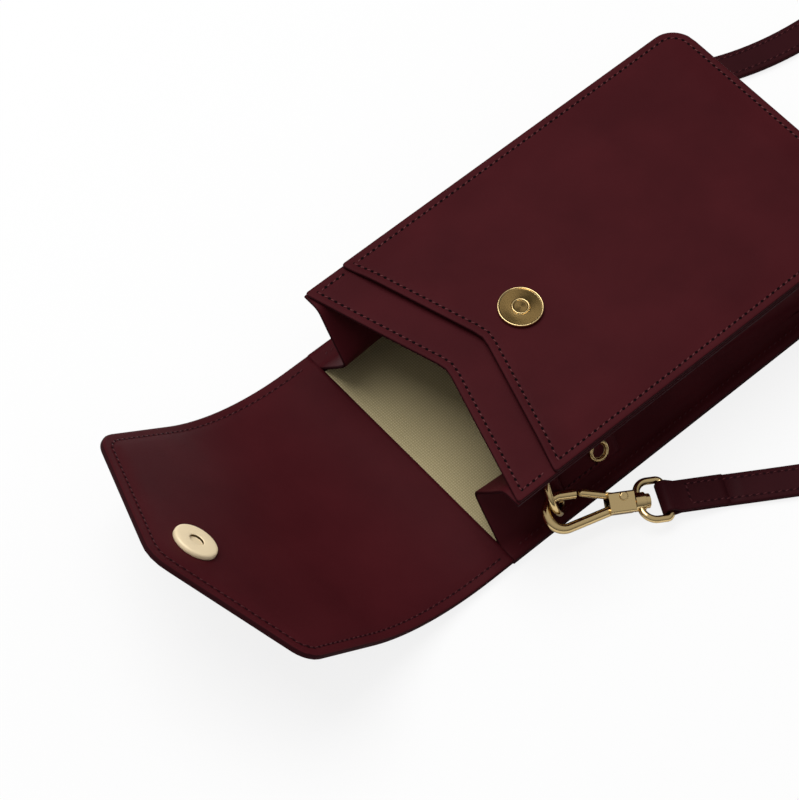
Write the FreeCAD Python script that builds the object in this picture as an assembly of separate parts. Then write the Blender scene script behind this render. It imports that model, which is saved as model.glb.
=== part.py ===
"""A leather phone pouch with a pointed flap, a slip pocket and a clip-on strap, in millimetres.

The pouch lies on its back with the flap open. +X runs from the mouth to the bottom end, +Y to
the pouch's left side and +Z up. The origin is the centre of the back panel's resting face.
"""
import FreeCAD
import Part

import math
import os

V = FreeCAD.Vector
UP = V(0, 0, 1)

# Sheet goods
leather = 1.4
lining = 0.6
board = 0.9
sewn_gap = 0.15
body_gap = 0.3

# Body
body_length = 176.0
body_width = 109.0
body_depth = 46.0
bottom_corner = 10.0
mouth_corner = 1.5
seam = 7.0
mouth_fold = 14.0
fold_mouth_share = 0.95
fold_end_share = 0.04
lining_inset = 2.5
notch_depth = 17.0
notch_round = 9.0
pocket_drop = 16.5
pocket_room = 1.2

# Flap: three leaves that bend about two folds and the mouth's edge
leaf_root = 27.0
flap_slack = 2.7
flap_shoulder = 54.0
flap_tip = 81.0
flap_snap = 59.0
flap_core = 1.2
flap_shoulder_round = 8.0
flap_tip_round = 13.0
board_inset = 6.0
fold_tilt = 21.0
front_tilt = 42.0

# Magnetic snap
snap_radius = 8.0
snap_place = 50.5
stud_height = 1.6
stud_rim = 0.9
stud_recess = 0.5
stud_seat = 0.1
stub_radius = 2.2
stub_height = 2.0
stub_collar_radius = 3.0
stub_collar_height = 0.4
shank_radius = 2.5
shank_fit = 0.1
washer_radius = 6.0
washer = 0.7
socket_height = 2.6
socket_wall = 0.7
socket_hole = 2.6
magnet_fit = 0.1
snap_clear = 0.3

# Ring tabs on the side gussets
tab_place = 26.0
tab_width = 11.0
tab_leather = 1.2
tab_length = 29.0
tab_gap = 0.9
tab_height = 9.5
rivet_reach = 21.0
rivet_radius = 4.2
rivet_dome = 1.5
rivet_shank = 1.2
rivet_fit = 0.1
rivet_back = 0.8

# D-rings
ring_wire = 2.4
ring_width = 16.0
ring_leg = 3.0
ring_corner = 2.6
ring_fit = 0.3
right_swing = 50.0
left_swing = 80.0

# Snap hooks
hook_wire = 3.5
bow_radius = 5.75
hook_nose = 5.5
block_start = 18.0
block_end = 25.6
block_low = 3.2
block_high = 4.2
block_half = 3.0
gate_pivot = 21.7
gate_pivot_rise = 2.4
gate_wire = 2.6
gate_gap = 0.4
gate_boss = 1.8
gate_boss_height = 1.5
slot_half = 1.35
slot_floor = 0.6
pin_radius = 0.8
pin_fit = 0.06
pin_over = 0.3
spring_radius = 1.7
spring_gap = 0.1
post_radius = 1.6
post_end = 31.4
post_head_radius = 2.6
post_head = 1.5
post_fit = 0.2
eye_wire = 2.6
eye_width = 15.4
eye_near = 27.8
eye_far = 37.8
eye_corner = 2.0
eye_round = 5.0
eye_boss = 3.3
engage = 1.4
right_heading = -27.0
right_pitch = 10.0
right_grip = -45.0
right_roll = 22.0
left_heading = 7.0
left_pitch = 15.0
left_grip = 0.0
left_roll = 16.0

# Strap
strap_width = 12.0
strap_thick = 2.4
strap_fold_fit = 0.3
strap_tail = 22.0
strap_lift = 0.2
strap_end_gap = 0.85
strap_step = 7.0
# Plan of the strap between its two sewn ends, from the right side round to the left side
strap_route = [(21.0, -104.0), (57.0, -124.0), (98.0, -131.0), (136.0, -119.0), (160.0, -90.0),
               (167.0, -50.0), (168.0, -10.0), (191.0, 13.0), (224.0, 13.0), (247.0, -10.0),
               (249.0, -46.0), (247.0, -85.0), (270.0, -109.0), (304.0, -109.0), (327.0, -85.0),
               (329.0, -42.0), (322.0, 2.0), (298.0, 38.0), (258.0, 55.0), (214.0, 46.0),
               (163.0, 38.5), (116.0, 45.5), (80.0, 67.0), (36.0, 67.8)]
flat_right = 45.0
edge_right = 125.0
edge_left = 330.0
flat_left = 255.0

overrun = 20.0
axis_share = 0.45


def unit(vec):
    return vec * (1.0 / vec.Length)


def rounded_edges(corners):
    """Edges of a closed outline in the XY plane, from (x, y, radius) corners."""
    count = len(corners)
    tangents = []
    for i, (x, y, radius) in enumerate(corners):
        here = V(x, y, 0)
        before = unit(V(*corners[i - 1][:2], 0) - here)
        after = unit(V(*corners[(i + 1) % count][:2], 0) - here)
        half = before.getAngle(after) / 2
        if radius <= 0:
            tangents.append((here, None, here))
            continue
        bisector = unit(before + after)
        reach = radius / math.tan(half)
        middle = here + bisector * (radius / math.sin(half) - radius)
        tangents.append((here + before * reach, middle, here + after * reach))
    edges = []
    for i, (start, middle, end) in enumerate(tangents):
        if middle is not None:
            edges.append(Part.Arc(start, middle, end).toShape())
        following = tangents[(i + 1) % count][0]
        edges.append(Part.LineSegment(end, following).toShape())
    return edges


def plate(corners, bottom, thickness):
    """A flat sheet with the outline of the corners, its lower face at the height bottom."""
    face = Part.Face(Part.Wire(rounded_edges(corners)))
    face.translate(V(0, 0, bottom))
    return face.extrude(V(0, 0, thickness))


def disc(radius, bottom, height, centre=(0.0, 0.0)):
    return Part.makeCylinder(radius, height, V(centre[0], centre[1], bottom), UP)


def box(x0, x1, y0, y1, z0, z1):
    return Part.makeBox(x1 - x0, y1 - y0, z1 - z0, V(x0, y0, z0))


def frame(origin, x_axis, y_axis, z_axis):
    """A placement whose local axes are the three given directions."""
    m = FreeCAD.Matrix(x_axis.x, y_axis.x, z_axis.x, origin.x,
                       x_axis.y, y_axis.y, z_axis.y, origin.y,
                       x_axis.z, y_axis.z, z_axis.z, origin.z)
    return FreeCAD.Placement(m)


def placed(shape, placement):
    moved = shape.copy()
    moved.Placement = placement.multiply(moved.Placement)
    return moved


def mirrored(shape):
    return shape.mirror(V(0, 0, 0), V(0, 1, 0))


def ribbon(points, thickness):
    """The outline of a sheet of the given thickness along an open polyline, mitred at bends."""
    half = thickness / 2
    left, right = [], []
    for i, point in enumerate(points):
        here = V(point[0], point[1], 0)
        sides = []
        if i > 0:
            step = unit(here - V(*points[i - 1], 0))
            sides.append(V(-step.y, step.x, 0))
        if i < len(points) - 1:
            step = unit(V(*points[i + 1], 0) - here)
            sides.append(V(-step.y, step.x, 0))
        normal = unit(sides[0] + sides[-1])
        reach = half / normal.dot(sides[0])
        left.append(here + normal * reach)
        right.append(here - normal * reach)
    return left + right[::-1]


def closed_wire(points):
    return Part.makePolygon(points + points[:1])


def swept(edges, radius):
    """A round wire along joined lines and arcs."""
    path = Part.Wire(edges)
    first = edges[0]
    start = first.valueAt(first.FirstParameter)
    along = first.tangentAt(first.FirstParameter)
    ring = Part.Wire(Part.Circle(start, along, radius).toShape())
    return path.makePipeShell([ring], True, False)


parts = {}

half_length = body_length / 2
half_width = body_width / 2
mouth_x = -half_length
pocket_bottom = body_depth - leather
front_bottom = pocket_bottom - pocket_room - leather
flange_low = leather + sewn_gap + leather / 2
flange_high = front_bottom - sewn_gap - leather / 2
fold_height = (flange_low + flange_high) / 2
gusset_end = half_length - bottom_corner

# Back: outer leather, board and lining
parts["back_panel"] = plate([(mouth_x, half_width, mouth_corner), (mouth_x, -half_width, mouth_corner),
                             (half_length, -half_width, bottom_corner),
                             (half_length, half_width, bottom_corner)], 0, leather)
inner_half = half_width - seam - lining_inset
inner_end = half_length - seam - lining_inset
board_bottom = leather + sewn_gap
lining_bottom = board_bottom + board + sewn_gap


def inside_sheet(mouth, bottom, thickness):
    """A plain sheet inside the back's seams, from the height bottom up."""
    return plate([(mouth, inner_half, mouth_corner), (mouth, -inner_half, mouth_corner),
                  (inner_end, -inner_half, mouth_corner), (inner_end, inner_half, mouth_corner)],
                 bottom, thickness)


lining_mouth = mouth_x + lining_inset
parts["back_board"] = inside_sheet(mouth_x + seam, board_bottom, board)
parts["back_lining"] = inside_sheet(lining_mouth, lining_bottom, lining)


def notched(mouth, half, end, corner):
    """Corners of a panel whose mouth edge is a shallow V."""
    return [(mouth, half, mouth_corner), (mouth + notch_depth, 0, notch_round), (mouth, -half, mouth_corner),
            (end, -half, corner), (end, half, corner)]


# Front: lining, panel and the slip pocket's panel over it
stud_x = mouth_x + snap_place
parts["front_panel"] = plate(notched(mouth_x, half_width, half_length, bottom_corner), front_bottom, leather)
parts["front_lining"] = plate(notched(lining_mouth, inner_half, inner_end, mouth_corner),
                              front_bottom - sewn_gap - lining, lining)
pocket = plate(notched(mouth_x + pocket_drop, half_width, half_length, bottom_corner), pocket_bottom, leather)
shank_hole = shank_radius + shank_fit
parts["pocket_panel"] = pocket.cut(disc(shank_hole, pocket_bottom - overrun, overrun * 2, (stud_x, 0)))


def gusset_points(share):
    """The gusset's section as (distance in from the edge, height): two slopes and a flat between them."""
    depth = mouth_fold * share
    climbed = (fold_height - flange_low) * share
    return [(0, flange_low), (seam, flange_low), (seam + depth, flange_low + climbed),
            (seam + depth, flange_high - climbed), (seam, flange_high), (0, flange_high)]


def gusset_section(x, share, first, last):
    """The section's outline between two of its bends, cut along the mitres there."""
    section = ribbon(gusset_points(share), leather)
    kept = section[first:last + 1] + section[len(section) - 1 - last:len(section) - first]
    return closed_wire([V(x, -half_width + p.x, p.y) for p in kept])


def gusset_leaf(first, last):
    return Part.makeLoft([gusset_section(mouth_x, fold_mouth_share, first, last),
                          gusset_section(gusset_end - sewn_gap, fold_end_share, first, last)], True, True)


# Side gussets fold inwards at the mouth and run out flat towards the bottom end. Each is one strip of
# leather in three leaves that meet at its two creases.
lower_leaf = gusset_leaf(0, 2)
inner_leaf = gusset_leaf(2, 3)
upper_leaf = gusset_leaf(3, 5)

# Bottom gusset: a plain wall with turned edges that follows the two round corners
wall = ribbon([(0, flange_low), (seam, flange_low), (seam, flange_high), (0, flange_high)], leather)
corner_y = half_width - bottom_corner
bottom_section = Part.Face(closed_wire([V(half_length - p.x, -corner_y, p.y) for p in wall]))
bottom = bottom_section.extrude(V(0, corner_y * 2, 0))
for side in (-1, 1):
    section = Part.Face(closed_wire([V(half_length - p.x, side * corner_y, p.y) for p in wall]))
    bottom = bottom.fuse(section.revolve(V(gusset_end, side * corner_y, 0), UP, side * 90))
parts["gusset_bottom"] = bottom.removeSplitter()

# Ring tab frame on the lower half of the right gusset
tab_x = mouth_x + tab_place
slope = math.atan2(fold_height - flange_low, mouth_fold)
climb = V(0, math.cos(slope), math.sin(slope))
outward = V(0, -math.sin(slope), math.cos(slope))
tab_origin = V(tab_x, -half_width + seam, flange_low) + climb * tab_height
tab_frame = frame(tab_origin, V(1, 0, 0), climb, outward)
tab_floor = leather / 2 + tab_gap
ring_bore = ring_wire / 2 + ring_fit
loop_radius = ring_bore + tab_leather
loop_level = tab_floor + loop_radius
half_tab = tab_width / 2

# Leather tab: a strip folded round the ring's bar and sewn down
loop = Part.makeCylinder(loop_radius, tab_width, V(0, -half_tab, loop_level), V(0, 1, 0))
tail = box(0, tab_length, -half_tab, half_tab, tab_floor, tab_floor + tab_leather * 2)
bore_start = V(0, -half_tab - overrun, loop_level)
bore = Part.makeCylinder(ring_bore, tab_width + overrun * 2, bore_start, V(0, 1, 0))
rivet_hole = disc(rivet_shank + rivet_fit, -overrun, overrun * 2, (rivet_reach, 0))
tab = placed(loop.fuse(tail).cut(bore).cut(rivet_hole).removeSplitter(), tab_frame)
lower_leaf = lower_leaf.cut(placed(rivet_hole, tab_frame))
for leaf_name, leaf in (("lower", lower_leaf), ("inner", inner_leaf), ("upper", upper_leaf)):
    parts["gusset_" + leaf_name + "_right"] = leaf
    parts["gusset_" + leaf_name + "_left"] = mirrored(leaf)
parts["ring_tab_right"] = tab
parts["ring_tab_left"] = mirrored(tab)

# Tab rivet: domed cap, shank and the backing washer inside the gusset
cap_level = tab_floor + tab_leather * 2
dome_radius = (rivet_radius ** 2 + rivet_dome ** 2) / (rivet_dome * 2)
dome = Part.makeSphere(dome_radius, V(rivet_reach, 0, cap_level + rivet_dome - dome_radius))
dome = dome.common(disc(rivet_radius, cap_level, rivet_dome, (rivet_reach, 0)))
back_level = -leather / 2 - tab_gap - rivet_back
shank = disc(rivet_shank, back_level, cap_level - back_level, (rivet_reach, 0))
back = disc(rivet_radius, back_level, rivet_back, (rivet_reach, 0))
rivet = placed(dome.fuse(shank).fuse(back).removeSplitter(), tab_frame)
parts["ring_rivet_right"] = rivet
parts["ring_rivet_left"] = mirrored(rivet)

# D-ring: the bar runs up the gusset inside the tab, the bow points to the mouth and swings out
half_ring = ring_width / 2
ring_edges = [Part.LineSegment(V(0, 0, 0), V(0, half_ring - ring_corner, 0)).toShape()]
bend = ring_corner * (1 - math.sqrt(0.5))
ring_edges.append(Part.Arc(V(0, half_ring - ring_corner, 0), V(bend, half_ring - bend, 0),
                           V(ring_corner, half_ring, 0)).toShape())
ring_edges.append(Part.LineSegment(V(ring_corner, half_ring, 0), V(ring_leg, half_ring, 0)).toShape())
ring_edges.append(Part.Arc(V(ring_leg, half_ring, 0), V(ring_leg + half_ring, 0, 0),
                           V(ring_leg, -half_ring, 0)).toShape())
ring_edges.append(Part.LineSegment(V(ring_leg, -half_ring, 0), V(ring_corner, -half_ring, 0)).toShape())
ring_edges.append(Part.Arc(V(ring_corner, -half_ring, 0), V(bend, -half_ring + bend, 0),
                           V(0, -half_ring + ring_corner, 0)).toShape())
ring_edges.append(Part.LineSegment(V(0, -half_ring + ring_corner, 0), V(0, 0, 0)).toShape())
ring = swept(ring_edges, ring_wire / 2)
ring_origin = tab_origin + outward * loop_level
ring_frames = {}
for name, side, swing in (("right", 1, right_swing), ("left", -1, left_swing)):
    ring_climb = V(0, climb.y * side, climb.z)
    ring_out = V(0, outward.y * side, outward.z)
    angle = math.radians(swing)
    bow_way = V(-math.cos(angle), 0, 0) + ring_out * math.sin(angle)
    bar_middle = V(ring_origin.x, ring_origin.y * side, ring_origin.z)
    ring_frames[name] = frame(bar_middle, bow_way, ring_climb, bow_way.cross(ring_climb))
    parts["d_ring_" + name] = placed(ring, ring_frames[name])
    print(name, "ring bar", bar_middle, "climb", ring_climb, "bow", bow_way)


# Flap: each leaf lies in its own frame, u away from the mouth and its inner face at w = 0
flap_thick = leather * 2 + flap_core

# Closed flap: the snap's socket comes down flat on the stud, and the leather has some slack on the way
root_hinge = V(mouth_x, 0, flap_thick)
close_level = body_depth + stud_height + socket_height + snap_clear
close_rise = close_level - root_hinge.z
close_back = root_hinge.x - (stud_x - flap_snap)
chord = math.hypot(close_rise, close_back)
leaf_fold = chord + flap_slack - leaf_root
inner_floor = -leather
outer_floor = -flap_thick


def leaf_frame(hinge, tilt):
    angle = math.radians(tilt)
    along = V(-math.cos(angle), 0, math.sin(angle))
    normal = V(math.sin(angle), 0, math.cos(angle))
    return frame(hinge, along, V(0, -1, 0), normal)


def leaf_end(hinge, tilt, length):
    angle = math.radians(tilt)
    return hinge + V(-math.cos(angle), 0, math.sin(angle)) * length


fold_hinge = leaf_end(root_hinge, 0, leaf_root)
front_hinge = leaf_end(fold_hinge, fold_tilt, leaf_fold)
half_gap = body_gap / 2

root_frame = leaf_frame(root_hinge, 0)
root_leaf = [(body_gap, half_width, 0), (body_gap, -half_width, 0),
             (leaf_root - half_gap, -half_width, 0), (leaf_root - half_gap, half_width, 0)]
parts["flap_root_inner"] = placed(plate(root_leaf, inner_floor, leather), root_frame)
parts["flap_root_outer"] = placed(plate(root_leaf, outer_floor, leather), root_frame)
fold_frame = leaf_frame(fold_hinge, fold_tilt)
fold_leaf = [(half_gap, half_width, 0), (half_gap, -half_width, 0),
             (leaf_fold - half_gap, -half_width, 0), (leaf_fold - half_gap, half_width, 0)]
parts["flap_fold_inner"] = placed(plate(fold_leaf, inner_floor, leather), fold_frame)
parts["flap_fold_outer"] = placed(plate(fold_leaf, outer_floor, leather), fold_frame)
core_gap = (flap_core - board) / 2
core_floor = outer_floor + leather + core_gap
core_half = half_width - board_inset
for name, place, length in (("root", root_frame, leaf_root), ("fold", fold_frame, leaf_fold)):
    core = [(board_inset / 2, core_half, 0), (board_inset / 2, -core_half, 0),
            (length - board_inset / 2, -core_half, 0), (length - board_inset / 2, core_half, 0)]
    parts["flap_" + name + "_board"] = placed(plate(core, core_floor, board), place)

front_frame = leaf_frame(front_hinge, front_tilt)
front_leaf = [(half_gap, half_width, 0), (half_gap, -half_width, 0),
              (flap_shoulder, -half_width, flap_shoulder_round), (flap_tip, 0, flap_tip_round),
              (flap_shoulder, half_width, flap_shoulder_round)]
snap_spot = (flap_snap, 0)
socket_hole_cut = disc(shank_hole, -overrun, overrun * 2, snap_spot)
parts["flap_front_outer"] = placed(plate(front_leaf, outer_floor, leather), front_frame)
parts["flap_front_inner"] = placed(plate(front_leaf, inner_floor, leather).cut(socket_hole_cut), front_frame)
core_end = flap_shoulder - board_inset
core_leaf = [(board_inset / 2, core_half, 0), (board_inset / 2, -core_half, 0),
             (core_end, -core_half, mouth_corner), (core_end, core_half, mouth_corner)]
washer_cut = disc(washer_radius + board_inset / 2, -overrun, overrun * 2, snap_spot)
parts["flap_front_board"] = placed(plate(core_leaf, core_floor, board).cut(washer_cut), front_frame)

# Snap socket on the flap: a cap with a hole over a ring magnet, on a base whose shank holds a washer
cap_floor = socket_wall + sewn_gap
cap = disc(snap_radius, cap_floor, socket_height - cap_floor, snap_spot)
cap = cap.cut(disc(snap_radius - socket_wall, 0, socket_height - socket_wall, snap_spot))
parts["snap_socket"] = placed(cap.cut(disc(socket_hole, 0, socket_height, snap_spot)), front_frame)
magnet_floor = cap_floor
magnet_top = socket_height - socket_wall - magnet_fit
magnet = disc(snap_radius - socket_wall - magnet_fit, magnet_floor, magnet_top - magnet_floor, snap_spot)
magnet = magnet.cut(disc(socket_hole + magnet_fit, 0, socket_height, snap_spot))
parts["snap_magnet"] = placed(magnet, front_frame)
washer_top = -leather - sewn_gap
base = disc(snap_radius, 0, socket_wall, snap_spot)
base = base.fuse(disc(shank_radius, washer_top - washer, washer - washer_top, snap_spot))
parts["socket_base"] = placed(base.removeSplitter(), front_frame)
washer_ring = disc(washer_radius, washer_top - washer, washer, snap_spot)
washer_hole = disc(shank_hole, washer_top - washer - overrun, overrun * 2, snap_spot)
parts["socket_washer"] = placed(washer_ring.cut(washer_hole), front_frame)

# Snap stud on the pocket panel: a rimmed plate on a post, whose shank holds a washer behind the leather
stud_spot = (stud_x, 0)
stud = disc(snap_radius, body_depth, stud_height, stud_spot)
stud_floor = body_depth + stud_height - stud_recess
stud = stud.cut(disc(snap_radius - stud_rim, stud_floor, overrun, stud_spot))
stud = stud.fuse(disc(stub_collar_radius, stud_floor, stub_collar_height, stud_spot)).removeSplitter()
parts["snap_stud"] = stud.cut(disc(stub_radius + shank_fit, body_depth - overrun, overrun * 2, stud_spot))
stud_washer_top = pocket_bottom - sewn_gap
shank_low = stud_washer_top - washer
shank_top = body_depth - stud_seat
post = disc(stub_radius, shank_low, stud_floor + stub_height - shank_low, stud_spot)
post = post.fuse(disc(shank_radius, shank_low, shank_top - shank_low, stud_spot))
parts["stud_post"] = post.removeSplitter()
stud_washer = disc(washer_radius, shank_low, washer, stud_spot)
parts["stud_washer"] = stud_washer.cut(disc(shank_hole, shank_low - overrun, overrun * 2, stud_spot))

# Snap hook, in its own frame: x from the bow to the swivel, y to the gate's side
half_wire = hook_wire / 2
side_end = V(block_start, -block_low + half_wire, 0)
side_angle = math.atan2(side_end.y, side_end.x) - math.acos(bow_radius / side_end.Length)
bow_middle = (side_angle + math.radians(90) + math.radians(360)) / 2
side_start = V(math.cos(side_angle), math.sin(side_angle), 0) * bow_radius
hook_edges = [Part.LineSegment(V(hook_nose, bow_radius, 0), V(0, bow_radius, 0)).toShape(),
              Part.Arc(V(0, bow_radius, 0), V(math.cos(bow_middle), math.sin(bow_middle), 0) * bow_radius,
                       side_start).toShape(),
              Part.LineSegment(side_start, side_end).toShape()]
hook_loop = swept(hook_edges, half_wire)
block = box(block_start - half_wire, block_end, -block_low, block_high, -block_half, block_half)
block = block.makeFillet(half_wire / 2, [e for e in block.Edges if abs(e.tangentAt(0).x) > axis_share])
slot = box(block_start - overrun, gate_pivot + gate_boss + gate_gap, -slot_floor, block_high + overrun,
           -slot_half, slot_half)
slot = slot.cut(box(block_start - overrun, block_start - half_wire, -overrun, block_high + overrun,
                    -slot_half, slot_half))
pivot = (gate_pivot, gate_pivot_rise)
pin_length = block_half * 2 + pin_over * 2
pin_hole = disc(pin_radius + pin_fit, -overrun, overrun * 2, pivot)
post = Part.makeCylinder(post_radius, post_end - block_end, V(block_end, 0, 0), V(1, 0, 0))
post_head_start = post_end - post_head
head = Part.makeCylinder(post_head_radius, post_head, V(post_head_start, 0, 0), V(1, 0, 0))
hook_body = hook_loop.fuse(block).cut(slot).cut(pin_hole).fuse(post).fuse(head).removeSplitter()

# Sprung gate: a straight bar from the pivot to the nose
gate_tip = V(hook_nose + gate_gap + half_wire, bow_radius, 0)
gate_root = V(gate_pivot, gate_pivot_rise, 0)
gate_span = gate_tip - gate_root
gate_bar = Part.makeCylinder(gate_wire / 2, gate_span.Length, gate_root, gate_span)
gate_bar = gate_bar.fuse(Part.makeSphere(gate_wire / 2, gate_tip))
boss_low = -slot_half + spring_gap
gate_bar = gate_bar.cut(box(block_start - half_wire, gate_pivot + overrun, -overrun, overrun,
                            boss_low + gate_boss_height, overrun))
gate_bar = gate_bar.cut(box(block_start - half_wire, gate_pivot + overrun, -overrun, overrun,
                            -overrun, boss_low))
gate = gate_bar.fuse(disc(gate_boss, boss_low, gate_boss_height, pivot)).cut(pin_hole).removeSplitter()
pin = disc(pin_radius, -pin_length / 2, pin_length, pivot)
spring_low = boss_low + gate_boss_height + spring_gap
spring_height = slot_half - spring_gap - spring_low
spring = disc(spring_radius, spring_low, spring_height, pivot).cut(pin_hole)

# Swivel eye: a rounded stirrup whose boss turns on the hook's post
half_eye = eye_width / 2
eye_corners = [(eye_near, half_eye, eye_round), (eye_near, -half_eye, eye_round),
               (eye_far, -half_eye, eye_corner), (eye_far, half_eye, eye_corner)]
eye_path = rounded_edges(eye_corners)
eye_path = eye_path[1:] + eye_path[:1]
boss_start = block_end + body_gap
boss_end = post_head_start - body_gap
eye_loop = swept(eye_path, eye_wire / 2)
boss = Part.makeCylinder(eye_boss, boss_end - boss_start, V(boss_start, 0, 0), V(1, 0, 0))
eye_clear = Part.makeCylinder(post_head_radius + body_gap, overrun, V(boss_end, 0, 0), V(1, 0, 0))
block_clear = box(boss_start - overrun, boss_start, -eye_boss, eye_boss, -eye_boss, eye_boss)
post_hole = Part.makeCylinder(post_radius + post_fit, overrun * 2, V(block_end - overrun, 0, 0), V(1, 0, 0))
eye_inside = box(boss_end, eye_far - eye_wire / 2, -post_head_radius - body_gap, post_head_radius + body_gap,
                 -eye_boss, eye_boss)
swivel_eye = eye_loop.fuse(boss).cut(post_hole).cut(block_clear).cut(eye_inside).removeSplitter()

# Strap end: the strap folded round the eye's far bar and sewn to itself
half_strap = strap_width / 2
fold_bore = eye_wire / 2 + strap_fold_fit
fold_outer = fold_bore + strap_thick / 2
fold_loop = Part.makeCylinder(fold_outer, strap_width, V(0, -half_strap, 0), V(0, 1, 0))
fold_tail = box(0, strap_tail, -half_strap, half_strap, -strap_thick / 2, strap_thick / 2)
fold_start = V(0, -half_strap - overrun, 0)
fold_hole = Part.makeCylinder(fold_bore, strap_width + overrun * 2, fold_start, V(0, 1, 0))
strap_fold = fold_loop.fuse(fold_tail).cut(fold_hole).removeSplitter()

# Each hook holds its ring at a point of the bow, and each strap end holds a hook
strap_ends, hook_frames = {}, {}
strap_rest = strap_thick / 2 + strap_lift
for name, heading, pitch, grip, roll in (
        ("right", right_heading, right_pitch, right_grip, right_roll),
        ("left", left_heading, left_pitch, left_grip, left_roll)):
    turn = math.radians(heading)
    tip = math.radians(pitch)
    across = V(-math.sin(turn), math.cos(turn), 0)
    along = V(math.cos(turn) * math.cos(tip), math.sin(turn) * math.cos(tip), -math.sin(tip))
    hold = math.radians(grip)
    grip_local = V(ring_leg + half_ring * math.cos(hold), half_ring * math.sin(hold), 0)
    grip_point = ring_frames[name].multVec(grip_local)
    bow_centre = grip_point + along * engage
    rolled = math.radians(roll)
    hook_across = across * math.cos(rolled) + along.cross(across) * math.sin(rolled)
    hook_frame = frame(bow_centre, along, hook_across, along.cross(hook_across))
    eye_frame = frame(bow_centre, along, across, along.cross(across))
    hook_frames[name] = hook_frame
    parts["hook_body_" + name] = placed(hook_body, hook_frame)
    parts["hook_gate_" + name] = placed(gate, hook_frame)
    parts["gate_pin_" + name] = placed(pin, hook_frame)
    parts["gate_spring_" + name] = placed(spring, hook_frame)
    parts["swivel_eye_" + name] = placed(swivel_eye, eye_frame)
    bar = eye_frame.multVec(V(eye_far, 0, 0))
    tail_tip = math.asin((bar.z - strap_rest) / strap_tail)
    level_way = V(math.cos(turn), math.sin(turn), 0)
    tail_way = level_way * math.cos(tail_tip) - UP * math.sin(tail_tip)
    parts["strap_fold_" + name] = placed(strap_fold, frame(bar, tail_way, across, tail_way.cross(across)))
    strap_ends[name] = (bar + tail_way * strap_tail, level_way)
    print(name, "hook frame", hook_frame.Base, along, across, "bar", bar)
    print(name, "gate pivot", hook_frame.multVec(V(gate_pivot, gate_pivot_rise, 0)), along.cross(hook_across))
    print(name, "strap tail end", bar + tail_way * strap_tail)


def route_path(points):
    """Lines and tangent arcs through a route: a list of (point, direction, distance along) samples."""
    samples, radii = [], []
    travelled = 0.0
    start = points[0]
    for i in range(1, len(points)):
        arc = None
        end = points[i]
        if i < len(points) - 1:
            into = points[i] - points[i - 1]
            away = points[i + 1] - points[i]
            turn = into.getAngle(away)
            reach = axis_share * min(into.Length, away.Length)
            radius = reach / math.tan(turn / 2)
            radii.append(radius)
            end = points[i] - unit(into) * reach
            arc = (unit(into), turn, radius, into.cross(away).z)
        run = end - start
        steps = max(1, math.ceil(run.Length / strap_step))
        for k in range(steps):
            samples.append((start + run * (k / steps), unit(run), travelled + run.Length * k / steps))
        travelled += run.Length
        if arc is None:
            samples.append((end, unit(run), travelled))
            break
        way, turn, radius, hand = arc
        normal = V(-way.y, way.x, 0) * (1 if hand > 0 else -1)
        centre = end + normal * radius
        steps = max(2, math.ceil(turn * radius / strap_step))
        for k in range(steps):
            angle = turn * k / steps
            point = centre - normal * (radius * math.cos(angle)) + way * (radius * math.sin(angle))
            heading = way * math.cos(angle) + normal * math.sin(angle)
            samples.append((point, heading, travelled + radius * angle))
        travelled += radius * turn
        start = centre - normal * (radius * math.cos(turn)) + way * (radius * math.sin(turn))
    return samples, radii, travelled


def ease(value, low, high):
    share = min(1.0, max(0.0, (value - low) / (high - low)))
    return share * share * (3 - 2 * share)


# Strap: flat at both ends, standing on its edge along the loops between
first, first_way = strap_ends["right"]
last, last_way = strap_ends["left"]
first += first_way * strap_end_gap
last += last_way * strap_end_gap
plan = [V(first.x, first.y, 0)] + [V(x, y, 0) for x, y in strap_route] + [V(last.x, last.y, 0)]
samples, radii, strap_run = route_path(plan)
sections = []
for point, way, along in samples:
    twist = ease(along, flat_right, edge_right) * ease(strap_run - along, flat_left, edge_left) * math.pi / 2
    across = V(-way.y, way.x, 0)
    wide = across * math.cos(twist) + UP * math.sin(twist)
    thin = UP * math.cos(twist) - across * math.sin(twist)
    rest = half_strap * math.sin(twist) + strap_thick / 2 * math.cos(twist) + strap_lift
    middle = V(point.x, point.y, rest)
    w, t = wide * half_strap, thin * (strap_thick / 2)
    sections.append(closed_wire([middle + w + t, middle - w + t, middle - w - t, middle + w - t]))
strap = Part.makeLoft(sections, True, True)
parts["strap"] = strap
section_area = strap_width * strap_thick
print("strap radii", [round(r) for r in radii])
print("strap run %.1f volume %.1f section x run %.1f" % (strap_run, strap.Volume, section_area * strap_run))
print("strap length, end to end %.1f" % (strap_run + strap_tail * 2))

# How far each leaf turns to close the flap
bend = math.acos((chord ** 2 - leaf_root ** 2 - leaf_fold ** 2) / (leaf_root * leaf_fold * 2))
root_close = math.degrees(math.atan2(close_rise, close_back) - math.asin(leaf_fold * math.sin(bend) / chord))
fold_close = root_close + math.degrees(bend)
print("hinges", root_hinge, fold_hinge, front_hinge)
print("travel root %.3f fold %.3f front %.3f" % (root_close, fold_close - fold_tilt - root_close,
                                                 180 - front_tilt - (fold_close - fold_tilt)))
print("snap spot", front_frame.multVec(V(flap_snap, 0, 0)), "tip", front_frame.multVec(V(flap_tip, 0, 0)))

os.makedirs("parts", exist_ok=True)
for name, shape in parts.items():
    solids = len(shape.Solids)
    print("%-20s valid %s solids %d volume %.2f" % (name, shape.isValid(), solids, shape.Volume))
    shape.exportStep("parts/" + name + ".step")
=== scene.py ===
"""Looks of a burgundy leather phone pouch that lies on its back with its flap open.

Sizes in this file are in millimetres until a mesh is made, and the frame's own metres from there on.
"""
import math

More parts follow.
